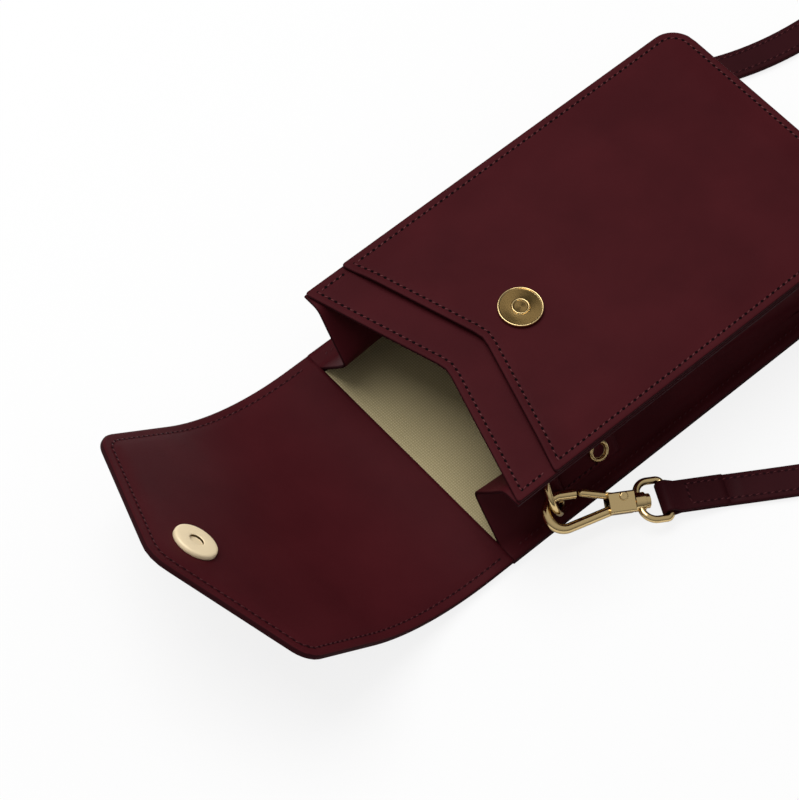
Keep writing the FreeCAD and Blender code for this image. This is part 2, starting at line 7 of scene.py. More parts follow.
import bpy
import numpy as np
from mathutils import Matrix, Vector


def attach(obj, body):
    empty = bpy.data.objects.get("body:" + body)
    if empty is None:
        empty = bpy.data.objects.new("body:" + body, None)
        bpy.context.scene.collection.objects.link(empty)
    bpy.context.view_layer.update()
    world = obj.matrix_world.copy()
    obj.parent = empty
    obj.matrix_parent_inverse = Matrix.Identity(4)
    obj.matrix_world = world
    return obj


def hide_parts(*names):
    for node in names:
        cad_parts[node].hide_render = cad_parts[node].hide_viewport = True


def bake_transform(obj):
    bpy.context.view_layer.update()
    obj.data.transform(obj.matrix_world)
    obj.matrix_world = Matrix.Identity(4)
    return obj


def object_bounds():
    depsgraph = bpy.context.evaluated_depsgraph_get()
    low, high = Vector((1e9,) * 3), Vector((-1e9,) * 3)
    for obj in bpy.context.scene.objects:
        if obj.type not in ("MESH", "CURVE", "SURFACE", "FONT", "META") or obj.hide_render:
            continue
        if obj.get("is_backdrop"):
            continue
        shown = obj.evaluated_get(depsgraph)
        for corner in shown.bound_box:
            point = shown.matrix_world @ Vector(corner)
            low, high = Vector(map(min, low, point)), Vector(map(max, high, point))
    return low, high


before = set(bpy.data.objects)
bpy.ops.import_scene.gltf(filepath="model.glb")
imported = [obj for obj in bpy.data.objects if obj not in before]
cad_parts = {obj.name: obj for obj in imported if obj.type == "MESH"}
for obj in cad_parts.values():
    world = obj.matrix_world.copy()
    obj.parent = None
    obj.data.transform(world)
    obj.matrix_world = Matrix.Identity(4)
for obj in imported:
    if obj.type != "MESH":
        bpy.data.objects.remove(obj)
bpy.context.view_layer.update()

MM = 0.001
UP = Vector((0, 0, 1))
LENGTHWAYS = Vector((1, 0, 0))
SIDES = (("right", 1), ("left", -1))

# Sizes of the pouch, as the solids have them
LEATHER = 1.4
LINING = 0.6
HALF_LENGTH = 88.0
HALF_WIDTH = 54.5
DEPTH = 46.0
CORNER = 10.0
MOUTH = -HALF_LENGTH
SEAM = 7.0
MOUTH_FOLD = 14.0
FOLD_AT_MOUTH = 0.95
FOLD_AT_END = 0.04
NOTCH_DEPTH = 17.0
NOTCH_ROUND = 9.0
POCKET_DROP = 16.5
POCKET_ROOM = 1.2
POCKET_SEWN = 0.1
SEWN_GAP = 0.15
BOARD = 0.9
LINING_INSET = 2.5
SNAP_PLACE = 50.5
MOUTH_ROUND = 1.6

# Stitch lines: their distance from the edge, and how the thread lies
STITCH_INSET = 3.6
FRONT_INSET = 2.9
STITCH_PITCH = 2.6
STITCH_SINK = 0.14
STRAP_STITCH_SINK = 0.03
SEAM_START = 5.0
THREAD_LENGTH = 1.6
THREAD_WIDTH = 0.55
THREAD_RISE = 0.24
THREAD_LEAN = 0.3
THREAD_LIFT = 0.35
THREAD_SIDES = 6
THREAD_RINGS = ((-0.36, 0.8), (0.0, 1.0), (0.36, 0.8))
THREAD_DIVE = 0.12
HOLE_SIDES = 8
HOLE_HALF_LENGTH = 0.62
HOLE_HALF_WIDTH = 0.5
HOLE_LIFT = 0.06

# Cut edges: rounded over and painted. The leather dips a little along a stitch line
EDGE_STEPS = [0.0, 0.22, 0.6, 1.3, 2.1, FRONT_INSET, STITCH_INSET, 4.4, 5.6, 7.2]
EDGE_SHARE = 0.42
ROUND_SHARE = 0.58
EDGE_ROUND = 0.9
PAINT_REACH = 0.1
DIP = 0.16
DIP_WIDTH = 0.8
OUTLINE_STEP = 3.0

# Steps along a stitch line, how far it may stray, and a jump that starts a new run
PATH_STEP = 0.8
PATH_SLACK = 0.06
PATH_BREAK = 4.0
# A short step that shows which way a surface runs
STEP = 0.5

# Sockets of a colour mix node, and the range in which most of a noise lies
MIX_COLOURS = (6, 7)
MIX_RESULT = 2
NOISE_RANGE = (0.3, 0.7)
WHITE = (1.0, 1.0, 1.0, 1.0)


def linear(code):
    """A linear colour from an sRGB hex code."""
    channels = [int(code[i:i + 2], 16) / 255 for i in (1, 3, 5)]
    return tuple(c / 12.92 if c <= 0.04045 else ((c + 0.055) / 1.055) ** 2.4 for c in channels) + (1.0,)


def add(tree, kind, inputs=None, **settings):
    """Adds a shader node of a kind, sets its properties and fills or links its inputs."""
    made = tree.nodes.new("ShaderNode" + kind)
    for name, value in settings.items():
        setattr(made, name, value)
    for socket, value in (inputs or {}).items():
        if isinstance(value, bpy.types.NodeSocket):
            tree.links.new(value, made.inputs[socket])
        else:
            made.inputs[socket].default_value = value
    return made


def new_material(name):
    """A material, its empty tree, and the places on the piece that its textures follow."""
    material = bpy.data.materials.new(name)
    material.use_nodes = True
    tree = material.node_tree
    tree.nodes.clear()
    return material, tree, add(tree, "TexCoord").outputs["Object"]


def noise(tree, place, size, detail):
    """Cloudy noise with patches of a size in millimetres."""
    made = add(tree, "TexNoise", {"Vector": place, "Scale": 1 / (size * MM), "Detail": detail})
    return made.outputs["Fac"]


def waves(tree, place, size, distortion, way="X"):
    """Bands across one direction, of a size in millimetres."""
    made = add(tree, "TexWave",
               {"Vector": place, "Scale": 1 / (size * MM), "Distortion": distortion}, bands_direction=way)
    return made.outputs["Fac"]


def stretched(tree, value, to_low, to_high, from_low=0.0, from_high=1.0):
    """A value carried from one range over to another."""
    made = add(tree, "MapRange", {"Value": value, "From Min": from_low, "From Max": from_high,
                                  "To Min": to_low, "To Max": to_high})
    return made.outputs["Result"]


def combined(tree, operation, first, second):
    """The sum or product of two values."""
    return add(tree, "Math", {0: first, 1: second}, operation=operation).outputs["Value"]


def two_tone(tree, share, first, second):
    """A colour between two hex codes."""
    made = add(tree, "Mix", {"Factor": share}, data_type="RGBA")
    for socket, code in zip(MIX_COLOURS, (first, second)):
        made.inputs[socket].default_value = linear(code)
    return made.outputs[MIX_RESULT]


def surface_shader(tree, height, strength, depth, inputs, shown=True):
    """The main shader over a bump of a depth in millimetres. It ends the material where it is shown."""
    bump = add(tree, "Bump", {"Height": height, "Strength": strength, "Distance": depth * MM})
    shader = add(tree, "BsdfPrincipled", {**inputs, "Normal": bump.outputs["Normal"]})
    if shown:
        add(tree, "OutputMaterial", {"Surface": shader.outputs["BSDF"]})
    return shader


def leather_material(name, base, deep, grain, roughness):
    """Drum-dyed calf leather pressed with a fine grain: satin, with soft cloudy dye and tiny pits."""
    material, tree, place = new_material(name)
    cloud = noise(tree, place, 26, 3.0)
    # Pebbles of 0.7 mm are finer than a render pixel, so they are drawn at the grain size given
    pebble = add(tree, "TexVoronoi",
                 {"Vector": place, "Scale": 1 / (grain * MM), "Randomness": 1.0}, feature="SMOOTH_F1")
    pore = noise(tree, place, 0.45 * grain, 4.0)
    height = combined(tree, "ADD", pebble.outputs["Distance"], pore)
    colour = two_tone(tree, stretched(tree, cloud, 0.0, 1.0, *NOISE_RANGE), deep, base)
    sheen = stretched(tree, pore, roughness - 0.05, roughness + 0.07, *NOISE_RANGE)
    surface_shader(tree, height, 0.22, 0.07, {"Base Color": colour, "Roughness": sheen, "IOR": 1.5,
                                              "Specular IOR Level": 0.045})
    return material


def paint_and_shade_material(name, code):
    """Acrylic edge paint, rolled on in coats: smoother than the grain, faintly uneven. It also colours the
    needle holes, as painted shade.
    """
    material, tree, place = new_material(name)
    ripple = noise(tree, place, 1.6, 2.0)
    gloss = stretched(tree, ripple, 0.6, 0.75)
    surface_shader(tree, ripple, 0.25, 0.1, {"Base Color": linear(code), "Roughness": gloss, "IOR": 1.49,
                                             "Specular IOR Level": 0.04})
    return material


def thread_material(name, code):
    """Bonded polyester thread: a twisted, slightly shiny yarn."""
    material, tree, place = new_material(name)
    twist = waves(tree, place, 2.2, 1.5)
    gloss = stretched(tree, twist, 0.42, 0.62)
    surface_shader(tree, twist, 0.4, 0.08, {"Base Color": linear(code), "Roughness": gloss, "IOR": 1.55,
                                            "Specular IOR Level": 0.15})
    return material


def lining_material(name, light, shade):
    """Woven cotton lining: over-and-under threads in a matt beige, with painted shade where the weave lies
    low, which reads as a faint check.
    """
    material, tree, place = new_material(name)
    # Threads lie 0.35 mm apart on the cloth and are drawn at 0.9 mm so that they show
    warp, weft = [waves(tree, place, 2.8, 0.4, way) for way in "XY"]
    weave = combined(tree, "MULTIPLY", warp, weft)
    # Painted shade: low spots of the weave take the shade colour, raised threads the light one
    colour = two_tone(tree, weave, shade, light)
    surface_shader(tree, weave, 0.5, 0.12, {"Base Color": colour, "Roughness": 0.88, "IOR": 1.5,
                                            "Specular IOR Level": 0.2, "Sheen Weight": 0.25})
    return material


def plated_material(name, code, low, high, brush, metal=1.0, turned_face=0.0):
    """Plated metal with faint smudges: a mirror at low roughness, a soft glow where brushed or satin."""
    material, tree, place = new_material(name)
    gloss = stretched(tree, noise(tree, place, 3.5, 3.0), low, high, *NOISE_RANGE)
    inputs = {"Base Color": linear(code), "Metallic": metal, "Roughness": gloss}
    if turned_face:
        # Fine rings left by the lathe draw the light out into bright and dark wedges
        rings = add(tree, "Tangent", direction_type="RADIAL", axis="Z")
        inputs.update({"Anisotropic": turned_face, "Tangent": rings.outputs["Tangent"]})
    surface_shader(tree, noise(tree, place, 0.5, 5.0), brush, 0.03, inputs)
    return material


def paper_material(name, code, bleached):
    """Seamless white studio paper: matt, with a barely visible tooth."""
    material, tree, place = new_material(name)
    shader = surface_shader(tree, noise(tree, place, 1.2, 2.0), 0.05, 0.05,
                            {"Base Color": linear(code), "Roughness": 0.9, "Specular IOR Level": 0.0},
                            shown=False)
    # Only the camera sees the paper bleached towards white, so its shadows stay faint
    seen = add(tree, "LightPath").outputs["Is Camera Ray"]
    bleach = add(tree, "Emission", {"Color": WHITE, "Strength": 1.0})
    mixed = add(tree, "MixShader", {0: combined(tree, "MULTIPLY", seen, bleached),
                                    1: shader.outputs["BSDF"], 2: bleach.outputs["Emission"]})
    add(tree, "OutputMaterial", {"Surface": mixed.outputs["Shader"]})
    return material


# Body and flap, and the darker strap: deep wine red with a low sheen
calf = leather_material("burgundy_calf_leather", "#47161B", "#3F1217", grain=1.0, roughness=0.55)
calf_strap = leather_material("burgundy_strap_leather", "#351116", "#2E0E12", grain=1.0, roughness=0.52)
# A darker line round each panel
edge_paint = paint_and_shade_material("burgundy_edge_paint", "#2E0F13")
# Where the seam is plain to see, a paler lit copy of the thread with dark discs of painted shade at the
# needle holes; elsewhere a darker copy of the same thread as painted shade, with fainter painted hole shade
thread = thread_material("burgundy_thread", "#5E2D30")
dark_hole_shade = paint_and_shade_material("dark_hole_painted_shade", "#0E0306")
shaded_thread = thread_material("shaded_burgundy_thread", "#4A1B20")
faint_hole_shade = paint_and_shade_material("faint_hole_painted_shade", "#240B10")
# The light inside of the pouch
cotton = lining_material("beige_cotton_lining", "#C3B58F", "#A4966F")
# Bright rings, hooks and rims, and hidden steel. The flap snap is pale satin gold whose near-white, barely
# metallic colour is a painted reflection. The olive tone on the pocket snap's flat face and middle is
# painted dark reflection, and on the socket's hole wall painted shade
gold = plated_material("pale_gold_plate", "#E0C38C", 0.1, 0.18, brush=0.05)
# Near white and barely metallic: the flap snap's bright reflection is painted into its colour
satin_gold_painted_light = plated_material("satin_gold_painted_reflection", "#FFE9C0", 0.45, 0.55, brush=0.4, metal=0.1)
# The dark olive colour is painted: dark reflection on flat faces, shade in a hole
brushed_gold_shade = plated_material("brushed_gold_painted_shade", "#5C4A2C", 0.26, 0.36, brush=0.5, turned_face=0.8)
steel = plated_material("bright_steel", "#9A9A9C", 0.25, 0.4, brush=0.2)
# A white ground with faint shadows
paper = paper_material("white_studio_paper", "#FDFDFD", bleached=0.84)


def linked(name, data):
    """A new object in the scene."""
    made = bpy.data.objects.new(name, data)
    bpy.context.scene.collection.objects.link(made)
    return made


def make_object(name, points, faces, materials, indices=None):
    """A smooth-shaded mesh object from points in millimetres."""
    mesh = bpy.data.meshes.new(name)
    mesh.from_pydata([tuple(c * MM for c in p) for p in points], [], faces)
    for material in materials:
        mesh.materials.append(material)
    if indices is not None:
        mesh.polygons.foreach_set("material_index", indices)
    mesh.polygons.foreach_set("use_smooth", [True] * len(mesh.polygons))
    mesh.update()
    return linked(name, mesh)


def smooth_step(value, low, high):
    """0 below low, 1 above high, and an easy rise between."""
    share = min(1.0, max(0.0, (value - low) / (high - low)))
    return share * share * (3 - 2 * share)


def stations(low, high, count, free_ends=(True, True)):
    """Places from low to high: close together near the free edges and even between."""
    first, last = [EDGE_STEPS if free else [0.0] for free in free_ends]
    inner_low = low + first[-1]
    inner_high = high - last[-1]
    middle = [inner_low + (inner_high - inner_low) * k / count for k in range(1, count)]
    return [low + e for e in first] + middle + [high - e for e in reversed(last)]


def outline_of(columns, span):
    """The closed outline of a panel as points (along, across)."""
    first = [(span(y)[0], y) for y in columns]
    last = [(span(y)[1], y) for y in reversed(columns)]
    return first + last


def dense(points, step):
    """Points about a step apart along a closed outline."""
    result = []
    for a, b in zip(points, points[1:] + points[:1]):
        run = math.dist(a, b)
        count = max(1, round(run / step))
        result += [(a[0] + (b[0] - a[0]) * k / count, a[1] + (b[1] - a[1]) * k / count)
                   for k in range(count)]
    return result


def edge_distance(points, outline):
    """The distance of each point to a closed outline."""
    a = np.array(outline)
    b = np.roll(a, -1, axis=0)
    run = b - a
    square = np.maximum((run ** 2).sum(1), 1e-12)
    result = []
    for p in np.array(points):
        t = np.clip(((p - a) * run).sum(1) / square, 0, 1)
        result.append(np.sqrt((((a + run * t[:, None]) - p) ** 2).sum(1).min()))
    return result


def edge_round(d):
    """The share of its thickness that leather has at a distance from its cut edge."""
    return EDGE_SHARE + ROUND_SHARE * math.sqrt(max(0.0, 1 - (1 - min(1.0, d / EDGE_ROUND)) ** 2))


def shell(name, upper, lower, per, painted, materials, open_rows=()):
    """A closed sheet between two grids with per points in a row. painted says which cells have paint."""
    count, shift = len(upper) // per, len(upper)
    faces, indices = [], []
    for i in range(count - 1):
        for a in range(i * per, i * per + per - 1):
            b = a + per
            faces += [(a, a + 1, b + 1, b), (shift + a, shift + b, shift + b + 1, shift + a + 1)]
            indices += [int(painted(a, b))] * 2
    # A wall between the borders of the two grids
    ring = list(range(per)) + [k * per + per - 1 for k in range(1, count)]
    ring += [(count - 1) * per + i for i in reversed(range(per - 1))]
    ring += [k * per for k in reversed(range(1, count - 1))]
    for a, b in zip(ring, ring[1:] + ring[:1]):
        if a % per == b % per and a % per in open_rows:
            continue
        faces.append((a, shift + a, shift + b, b))
        indices.append(1)
    return make_object(name, upper + lower, faces, materials, indices)


def panel(name, columns, span, rows, place, thickness, materials, free=None, free_ends=(True, True),
          walls=(True, True), inset=STITCH_INSET):
    """A closed leather sheet over the columns, with painted edges and a valley along its stitch line.

    place(along, across) gives a point of the middle surface and its normal. free(along, across, d) may
    change the distance to the edge that shapes the rim. free_ends says at which ends, first and last, the
    sheet has a rim. walls says at which ends it is closed, as another stretch of the sheet may start there.
    """
    outline = outline_of(columns, span)
    flat = []
    for y in columns:
        low, high = span(y)
        flat += [(s, y) for s in stations(low, high, rows, free_ends)]
    per = len(flat) // len(columns)
    open_rows = [row for row, wall in zip((0, per - 1), walls) if not wall]
    reach = edge_distance(flat, dense(outline, OUTLINE_STEP))
    if free is not None:
        reach = [free(s, y, d) for (s, y), d in zip(flat, reach)]
    upper, lower = [], []
    for (s, y), d in zip(flat, reach):
        middle, normal = place(s, y)
        half = thickness(s, y, d) / 2 * edge_round(d) - DIP * math.exp(-((d - inset) / DIP_WIDTH) ** 2)
        upper.append(middle + normal * half)
        lower.append(middle - normal * half)

    def painted(a, b):
        return min(reach[a], reach[b], reach[a + 1], reach[b + 1]) < PAINT_REACH
    return shell(name, upper, lower, per, painted, materials, open_rows)


def inset_path(outline, inset):
    """Runs of points inside a closed outline at a set distance from it."""
    points = dense(outline, PATH_STEP)
    area = sum(a[0] * b[1] - b[0] * a[1] for a, b in zip(points, points[1:] + points[:1]))
    hand = 1 if area > 0 else -1
    moved = []
    count = len(points)
    for i in range(count):
        a, b = points[i - 2], points[(i + 2) % count]
        run = math.dist(a, b)
        moved.append((points[i][0] - hand * (b[1] - a[1]) / run * inset,
                      points[i][1] + hand * (b[0] - a[0]) / run * inset))
    reach = edge_distance(moved, points)
    return [p for p, d in zip(moved, reach) if d > inset - PATH_SLACK]


def spaced(points, keep):
    """Places and directions of stitches along a closed path, where keep says so."""
    travelled, marks, goal = 0.0, [], 0.0
    for a, b in zip(points, points[1:] + points[:1]):
        run = math.dist(a, b)
        if run > PATH_BREAK or run == 0:
            goal = travelled
            continue
        way = ((b[0] - a[0]) / run, (b[1] - a[1]) / run)
        while goal <= travelled + run:
            t = (goal - travelled) / run
            spot = (a[0] + (b[0] - a[0]) * t, a[1] + (b[1] - a[1]) * t)
            if keep(*spot):
                marks.append((spot, way))
            goal += STITCH_PITCH
        travelled += run
    return marks


def ellipse(centre, first, second, wide, tall, count):
    """Points round a centre, as far as wide along the first direction and tall along the second."""
    angles = [math.tau * k / count for k in range(count)]
    return [centre + first * (math.cos(a) * wide) + second * (math.sin(a) * tall) for a in angles]


def tube(count, per, start=0):
    """The faces between count rings of per points each."""
    return [(a + k, a + (k + 1) % per, a + per + (k + 1) % per, a + per + k)
            for a in range(start, start + (count - 1) * per, per) for k in range(per)]


def fan(start, per, tip):
    """The faces between a ring of per points and a tip."""
    return [(start + k, start + (k + 1) % per, tip) for k in range(per)]


def stitches(name, marks, surface, body="pouch", in_shade=True):
    """A sewn row with a dark disc of painted shade for the needle hole at the end of each stitch. A row in
    shade takes the darker thread copy and fainter hole shade, both painted shade.
    """
    points, faces, indices = [], [], []
    for (s, y), (ds, dy) in marks:
        base, normal = surface(s, y)
        ahead, _ = surface(s + ds * STEP, y + dy * STEP)
        way = (ahead - base).normalized()
        side = normal.cross(way).normalized()
        along = (way + side * THREAD_LEAN).normalized()
        side = normal.cross(along).normalized()
        start = len(points)
        points.append(base - along * (THREAD_LENGTH / 2) - normal * THREAD_DIVE)
        for at, size in THREAD_RINGS:
            centre = base + along * (THREAD_LENGTH * at) + normal * (THREAD_RISE * THREAD_LIFT)
            points += ellipse(centre, side, normal, THREAD_WIDTH / 2 * size, THREAD_RISE * size,
                              THREAD_SIDES)
        tip = len(points)
        points.append(base + along * (THREAD_LENGTH / 2) - normal * THREAD_DIVE)
        faces += [face[::-1] for face in fan(start + 1, THREAD_SIDES, start)]
        faces += tube(len(THREAD_RINGS), THREAD_SIDES, start + 1)
        faces += fan(tip - THREAD_SIDES, THREAD_SIDES, tip)
        indices += [0] * (THREAD_SIDES * (len(THREAD_RINGS) + 1))
        # The needle hole is a flat dark disc over the surface: painted shade, not a recess
        hole = base + way * (STITCH_PITCH / 2) + normal * HOLE_LIFT
        points += ellipse(hole, along, side, HOLE_HALF_LENGTH, HOLE_HALF_WIDTH, HOLE_SIDES) + [hole]
        faces += fan(tip + 1, HOLE_SIDES, tip + 1 + HOLE_SIDES)
        indices += [1] * HOLE_SIDES
    # The flag picks the darker copy of the thread and the fainter hole disc: painted shade
    materials = [shaded_thread, faint_hole_shade] if in_shade else [thread, dark_hole_shade]
    made = make_object(name, points, faces, materials, indices)
    if body:
        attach(made, body)
    return made


def finish_piece(piece, slot, *nodes, body="pouch"):
    """Rides the piece on its body in place of the solids that it stands for."""
    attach(piece, body)
    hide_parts(*nodes)
    return piece


# Panels

def rounded_end(y):
    """Where a panel with two round corners ends, at the distance y from its middle."""
    over = abs(y) - (HALF_WIDTH - CORNER)
    if over <= 0:
        return HALF_LENGTH
    return HALF_LENGTH - CORNER + math.sqrt(max(0.0, CORNER ** 2 - over ** 2))


def vee_start(y, mouth):
    """Where a panel with a shallow V for its mouth edge starts: the V's foot and corners are rounded."""
    slope = NOTCH_DEPTH / HALF_WIDTH
    reach = NOTCH_ROUND * math.sin(math.atan(slope))
    deep = NOTCH_DEPTH + NOTCH_ROUND - NOTCH_ROUND * math.hypot(1, slope)
    if abs(y) < reach:
        return mouth + deep - NOTCH_ROUND + math.sqrt(NOTCH_ROUND ** 2 - y * y)
    over = max(0.0, abs(y) - (HALF_WIDTH - MOUTH_ROUND))
    corner = MOUTH_ROUND - math.sqrt(max(0.0, MOUTH_ROUND ** 2 - over ** 2))
    return mouth + NOTCH_DEPTH - slope * abs(y) + corner


WIDE_COUNT = 26
PANEL_ROWS = 40
wide_columns = stations(-HALF_WIDTH, HALF_WIDTH, WIDE_COUNT)
FRONT_SAG = 0.35
SAG_REACH = 40.0
RIM_NEAR, RIM_FAR = 3.0, 13.0
# The pocket's fullness, where it starts, how long it runs and the square of its flat spot at the snap
POCKET_FULL = 0.5
FULL_START = -71.0
FULL_RUN = 159.0
SNAP_FLAT = 900.0
FRONT_MIDDLE = DEPTH - LEATHER * 1.5 - POCKET_ROOM
POCKET_MIDDLE = DEPTH - LEATHER / 2


def back_span(y):
    return MOUTH, rounded_end(y)


def front_span(y):
    return vee_start(y, MOUTH), rounded_end(y)


def pocket_span(y):
    return vee_start(y, MOUTH + POCKET_DROP), rounded_end(y)


def rim_share(s, y):
    """1 at the sewn side and bottom edges, falling to 0 inside the seam."""
    side = HALF_WIDTH - abs(y)
    end = rounded_end(y) - s
    return 1 - smooth_step(min(side, end), RIM_NEAR, RIM_FAR)


def back_place(s, y):
    return Vector((s, y, LEATHER / 2)), UP


def front_place(s, y):
    sag = FRONT_SAG * math.cos(math.pi * y / HALF_WIDTH / 2) * (1 - smooth_step(s, MOUTH, MOUTH + SAG_REACH))
    return Vector((s, y, FRONT_MIDDLE - sag)), UP


def pocket_level(s, y):
    """Height of the pocket panel: sewn down at its rim, and gently full between."""
    gap = POCKET_ROOM - POCKET_SEWN
    near_snap = math.exp(-((s - MOUTH - SNAP_PLACE) ** 2 + y * y) / SNAP_FLAT)
    full = 0.0
    if s > FULL_START:
        full = POCKET_FULL * math.cos(math.pi * y / HALF_WIDTH / 2)
        full *= math.sin(math.pi * (s - FULL_START) / FULL_RUN)
    return POCKET_MIDDLE - gap * rim_share(s, y) + full * (1 - near_snap)


def pocket_place(s, y):
    slope_s = (pocket_level(s + STEP, y) - pocket_level(s - STEP, y)) / (2 * STEP)
    slope_y = (pocket_level(s, y + STEP) - pocket_level(s, y - STEP)) / (2 * STEP)
    return Vector((s, y, pocket_level(s, y))), Vector((-slope_s, -slope_y, 1)).normalized()


def even(thickness):
    """The thickness of a sheet that is the same all over."""
    return lambda s, y, d=0.0: thickness


def sewn_face(place, sign, thickness=even(LEATHER)):
    """The upper or lower face of a leather sheet, for its stitches."""
    def surface(s, y):
        middle, normal = place(s, y)
        return middle + normal * (sign * (thickness(s, y) / 2 - STITCH_SINK)), normal * sign
    return surface


leathers = [calf, edge_paint]


def body_panel(name, span, place, inset, *nodes):
    """One of the body's three panels."""
    made = panel(name, wide_columns, span, PANEL_ROWS, place, even(LEATHER), leathers, inset=inset)
    finish_piece(made, "leather", *nodes)


def seam(span, inset, keep):
    """The stitches along a panel's edge, where keep says so."""
    return spaced(inset_path(outline_of(wide_columns, span), inset), keep)


body_panel("back_shell", back_span, back_place, STITCH_INSET, "back_panel", "back_board")
body_panel("front_shell", front_span, front_place, FRONT_INSET, "front_panel")
body_panel("pocket_shell", pocket_span, pocket_place, FRONT_INSET, "pocket_panel")

MOUTH_SEAM = 14.0
back_marks = seam(back_span, STITCH_INSET, lambda s, y: s > MOUTH + SEAM_START)
stitches("stitches_back_outside", back_marks, sewn_face(back_place, -1))
front_marks = seam(front_span, FRONT_INSET, lambda s, y: s < vee_start(y, MOUTH) + MOUTH_SEAM)
stitches("stitches_front_mouth", front_marks, sewn_face(front_place, 1), in_shade=False)
pocket_marks = seam(pocket_span, FRONT_INSET, lambda s, y: True)
stitches("stitches_pocket", pocket_marks, sewn_face(pocket_place, 1), in_shade=False)

# Linings
LINING_HALF = HALF_WIDTH - SEAM - LINING_INSET
LINING_END = HALF_LENGTH - SEAM - LINING_INSET
LINING_MOUTH = MOUTH + LINING_INSET
LINING_COUNT = 20
LINING_ROWS = 30
HEM_INSET = 0.2
HEM_RISE = 0.55
HEM_NEAR, HEM_FAR = 1.0, 9.0
BACK_RIPPLE = 0.12
FRONT_RIPPLE = 0.1
lining_columns = stations(-LINING_HALF, LINING_HALF, LINING_COUNT)


def back_lining_span(y):
    return MOUTH + HEM_INSET, LINING_END


def front_lining_span(y):
    return vee_start(y, LINING_MOUTH), LINING_END


def back_lining_place(s, y):
    ripple = BACK_RIPPLE * math.sin(s / 9.0 + y / 21.0) * math.cos(y / 13.0)
    hem = HEM_RISE * (1 - smooth_step(s, MOUTH + HEM_NEAR, MOUTH + HEM_FAR))
    return Vector((s, y, LEATHER + SEWN_GAP * 2 + BOARD + LINING / 2 + ripple + hem)), UP


def front_lining_place(s, y):
    ripple = FRONT_RIPPLE * math.sin(s / 11.0 - y / 17.0)
    middle, normal = front_place(s, y)
    return middle - normal * (LEATHER / 2 + SEWN_GAP + LINING / 2 + FRONT_RIPPLE - ripple), normal


def lining_panel(name, span, place, node):
    """One of the two linings."""
    made = panel(name, lining_columns, span, LINING_ROWS, place, even(LINING), [cotton, cotton])
    return finish_piece(made, "lining", node)


back_cloth = lining_panel("back_lining_cloth", back_lining_span, back_lining_place, "back_lining")
front_cloth = lining_panel("front_lining_cloth", front_lining_span, front_lining_place, "front_lining")

# Gusset: one strip from the mouth's right side round the bottom to its left side
FLANGE_LOW = LEATHER + SEWN_GAP + LEATHER / 2
FLANGE_HIGH = FRONT_MIDDLE - LEATHER / 2 - SEWN_GAP - LEATHER / 2
FOLD_HEIGHT = (FLANGE_LOW + FLANGE_HIGH) / 2
GUSSET_END = HALF_LENGTH - CORNER
GUSSET_STEPS = (0.0, 0.25, 0.7, 1.5, 2.6, 3.6, 4.6, 6.5)
SIDE_COUNT = 34
CORNER_COUNT = 9
BOTTOM_COUNT = 20
FLANGE_STEPS = (2.2, 4.4)
# Length of a bend's soft part, at most this share of the run beside it
FOLD_SOFT = 2.4
SOFT_SHARE = 0.45
BEND_STEPS = 4
RUN_STEPS = 6
GUSSET_WAVE = 0.25
FAR = 200.0
TINY = 1e-6


def gusset_profile(share):
    """The strip's section as (distance in from the edge, height), with soft bends."""
    depth = MOUTH_FOLD * share
    climbed = (FOLD_HEIGHT - FLANGE_LOW) * share
    corners = [(0, FLANGE_LOW), (SEAM, FLANGE_LOW), (SEAM + depth, FLANGE_LOW + climbed),
               (SEAM + depth, FLANGE_HIGH - climbed), (SEAM, FLANGE_HIGH), (0, FLANGE_HIGH)]
    path = [corners[0]] + [(k, FLANGE_LOW) for k in FLANGE_STEPS]
    for i in range(1, 5):
        here = Vector(corners[i])
        before = Vector(corners[i - 1]) - here
        after = Vector(corners[i + 1]) - here
        pull = after * min(SOFT_SHARE, FOLD_SOFT / max(after.length, TINY))
        a = here + before * min(SOFT_SHARE, FOLD_SOFT / max(before.length, TINY))
        b = here + pull
        for k in range(BEND_STEPS + 1):
            t = k / BEND_STEPS
            path.append(tuple(a * (1 - t) ** 2 + here * (2 * t * (1 - t)) + b * t * t))
        if i < 4:
            c = Vector(corners[i + 1]) - pull
            path += [tuple(b.lerp(c, k / RUN_STEPS)) for k in range(1, RUN_STEPS)]
    return path + [(k, FLANGE_HIGH) for k in reversed(FLANGE_STEPS)] + [(0.0, FLANGE_HIGH)]


def gusset_stations():
    """Places round the pouch: (edge point, inward direction, fold share, distance from the mouth)."""
    spots = []
    sides = [MOUTH + e for e in GUSSET_STEPS]
    rest = GUSSET_END - sides[-1]
    sides += [sides[-1] + rest * k / SIDE_COUNT for k in range(1, SIDE_COUNT + 1)]
    for x in sides:
        t = (x - MOUTH) / (GUSSET_END - MOUTH)
        share = FOLD_AT_MOUTH + (FOLD_AT_END - FOLD_AT_MOUTH) * t
        spots.append((Vector((x, -HALF_WIDTH, 0)), Vector((0, 1, 0)), share, x - MOUTH))
    corner = HALF_WIDTH - CORNER
    for k in range(1, CORNER_COUNT):
        angle = math.pi / 2 * k / CORNER_COUNT
        out = Vector((math.sin(angle), -math.cos(angle), 0))
        spots.append((Vector((GUSSET_END, -corner, 0)) + out * CORNER, -out, FOLD_AT_END, FAR))
    for k in range(BOTTOM_COUNT // 2 + 1):
        edge = Vector((HALF_LENGTH, -corner + corner * 2 * k / BOTTOM_COUNT, 0))
        spots.append((edge, Vector((-1, 0, 0)), FOLD_AT_END, FAR))
    mirror = [(Vector((p.x, -p.y, 0)), Vector((n.x, -n.y, 0)), f, d) for p, n, f, d in spots[-2::-1]]
    return spots + mirror


gusset_spots = gusset_stations()


